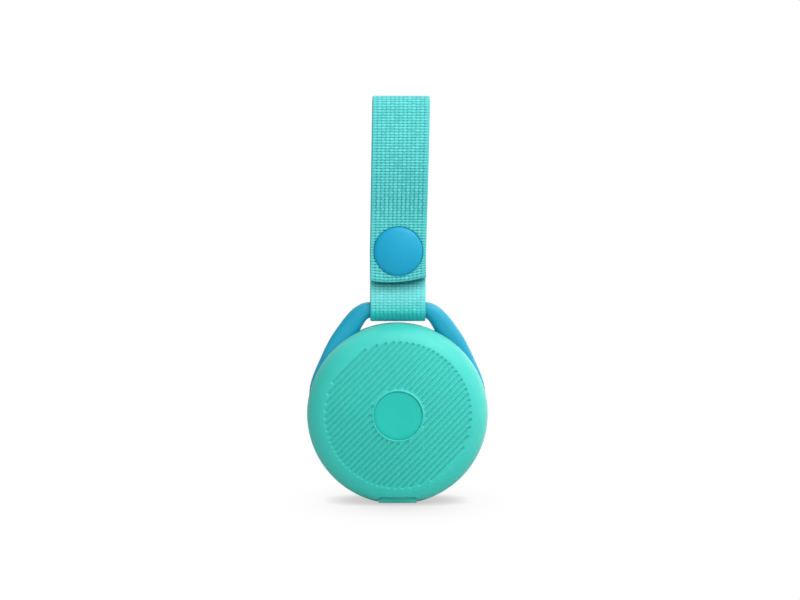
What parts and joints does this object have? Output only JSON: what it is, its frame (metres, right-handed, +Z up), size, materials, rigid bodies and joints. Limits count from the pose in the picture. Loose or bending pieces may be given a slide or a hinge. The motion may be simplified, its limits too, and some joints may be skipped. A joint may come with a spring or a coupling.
{
  "type": "portable bluetooth speaker",
  "caption": "Round ribbed-face portable speaker on a flat foot, with a hanging loop, side keys and a snap-closed webbing strap.",
  "frame": {"origin": "middle of the flat underside of the foot", "axes": "+X to the right seen from the front, -Y out of the ribbed front face, +Z up along the strap"},
  "size_m": [0.0854, 0.0413, 0.1921],
  "materials": {
    "soft_teal": "matte",
    "panel_teal": "matte",
    "disc_teal": "satin",
    "mesh_teal": "matte",
    "loop_blue": "satin",
    "key_blue": "matte",
    "foot_teal": "matte",
    "webbing_teal": "woven",
    "snap_blue": "gloss",
    "light_pipe": "frosted",
    "housing_plastic": "matte",
    "seal_rubber": "matte",
    "steel": "bright zinc",
    "magnet": "sintered",
    "copper": "enamelled wire",
    "cone_paper": "matte",
    "spider_cloth": "impregnated cloth",
    "board_green": "solder mask",
    "component_black": "matte",
    "capacitor": "satin",
    "flex_amber": "polyimide film",
    "connector_white": "matte",
    "cell_foil": "satin foil",
    "lead_red": "matte",
    "led_white": "matte"
  },
  "bodies": {
    "speaker": {"front_cover": "soft_teal", "centre_disc": "disc_teal", "acoustic_mesh": "mesh_teal", "front_housing": "housing_plastic", "loop_frame": "loop_blue", "rear_shell": "soft_teal", "rear_panel": "panel_teal", "shell_seal": "seal_rubber", "shell_screws": "steel", "base_foot": "foot_teal", "port_cover_tether": "foot_teal", "key_frame_right": "loop_blue", "key_frame_left": "loop_blue", "status_light_pipe": "light_pipe", "status_led": "led_white", "switch_board_right": "board_green", "switch_board_left": "board_green", "switches_right": "component_black", "switches_left": "component_black", "ribbon_cables": "flex_amber", "driver_gasket": "seal_rubber", "driver_basket": "steel", "driver_screws": "steel", "driver_surround": "seal_rubber", "driver_spider": "spider_cloth", "driver_top_plate": "steel", "driver_magnet": "magnet", "driver_yoke": "steel", "main_board": "board_green", "board_screws": "steel", "radio_shield": "steel", "board_chips": "component_black", "board_capacitors": "capacitor", "usb_port": "steel", "battery_connector": "connector_white", "battery_cell": "cell_foil", "battery_pad": "seal_rubber", "battery_board": "board_green", "battery_leads": "lead_red"},
    "strap": {"strap_back": "webbing_teal", "snap_stud": "snap_blue", "snap_post": "snap_blue"},
    "flap": {"strap_flap": "webbing_teal", "snap_cap": "snap_blue", "snap_socket": "snap_blue", "snap_spring": "steel"},
    "cone": {"driver_cone": "cone_paper", "driver_dust_cap": "cone_paper", "driver_voice_coil": "copper"},
    "port_cover": {"port_cover": "foot_teal"},
    "key_volume_up": {"key_volume_up": "key_blue", "plunger_volume_up": "component_black"},
    "key_play": {"key_play": "key_blue", "plunger_play": "component_black"},
    "key_volume_down": {"key_volume_down": "key_blue", "plunger_volume_down": "component_black"},
    "key_power": {"key_power": "key_blue", "plunger_power": "component_black"},
    "key_pairing": {"key_pairing": "key_blue", "plunger_pairing": "component_black"}
  },
  "joints": [
    {"name": "strap_swing", "type": "hinge", "parent": "speaker", "child": "strap", "pos_m": [0, 0, 0.09079], "axis": [1, 0, 0], "range_deg": [-90, 80]},
    {"name": "flap_open", "type": "hinge", "parent": "strap", "child": "flap", "pos_m": [0, -0.00205, 0.19209], "axis": [-1, 0, 0], "range_deg": [0, 150]},
    {"name": "port_cover_open", "type": "hinge", "parent": "speaker", "child": "port_cover", "pos_m": [0.0321, 0.0087, 0.01486], "axis": [0, -1, 0], "range_deg": [0, 100]},
    {"name": "cone_travel", "type": "slide", "parent": "speaker", "child": "cone", "axis": [0, -1, 0], "range_m": [-0.001, 0.001], "stiffness_N_per_m": 60},
    {"name": "volume_up_press", "type": "slide", "parent": "speaker", "child": "key_volume_up", "axis": [-0.9744, 0, 0.225], "range_m": [0, 0.0004], "stiffness_N_per_m": 30, "springref_m": -0.0003},
    {"name": "play_press", "type": "slide", "parent": "speaker", "child": "key_play", "axis": [-0.9744, 0, 0.225], "range_m": [0, 0.0004], "stiffness_N_per_m": 30, "springref_m": -0.0003},
    {"name": "volume_down_press", "type": "slide", "parent": "speaker", "child": "key_volume_down", "axis": [-0.9744, 0, 0.225], "range_m": [0, 0.0004], "stiffness_N_per_m": 30, "springref_m": -0.0003},
    {"name": "power_press", "type": "slide", "parent": "speaker", "child": "key_power", "axis": [0.9744, 0, 0.225], "range_m": [0, 0.0004], "stiffness_N_per_m": 30, "springref_m": -0.0003},
    {"name": "pairing_press", "type": "slide", "parent": "speaker", "child": "key_pairing", "axis": [0.9744, 0, 0.225], "range_m": [0, 0.0004], "stiffness_N_per_m": 30, "springref_m": -0.0003}
  ]
}
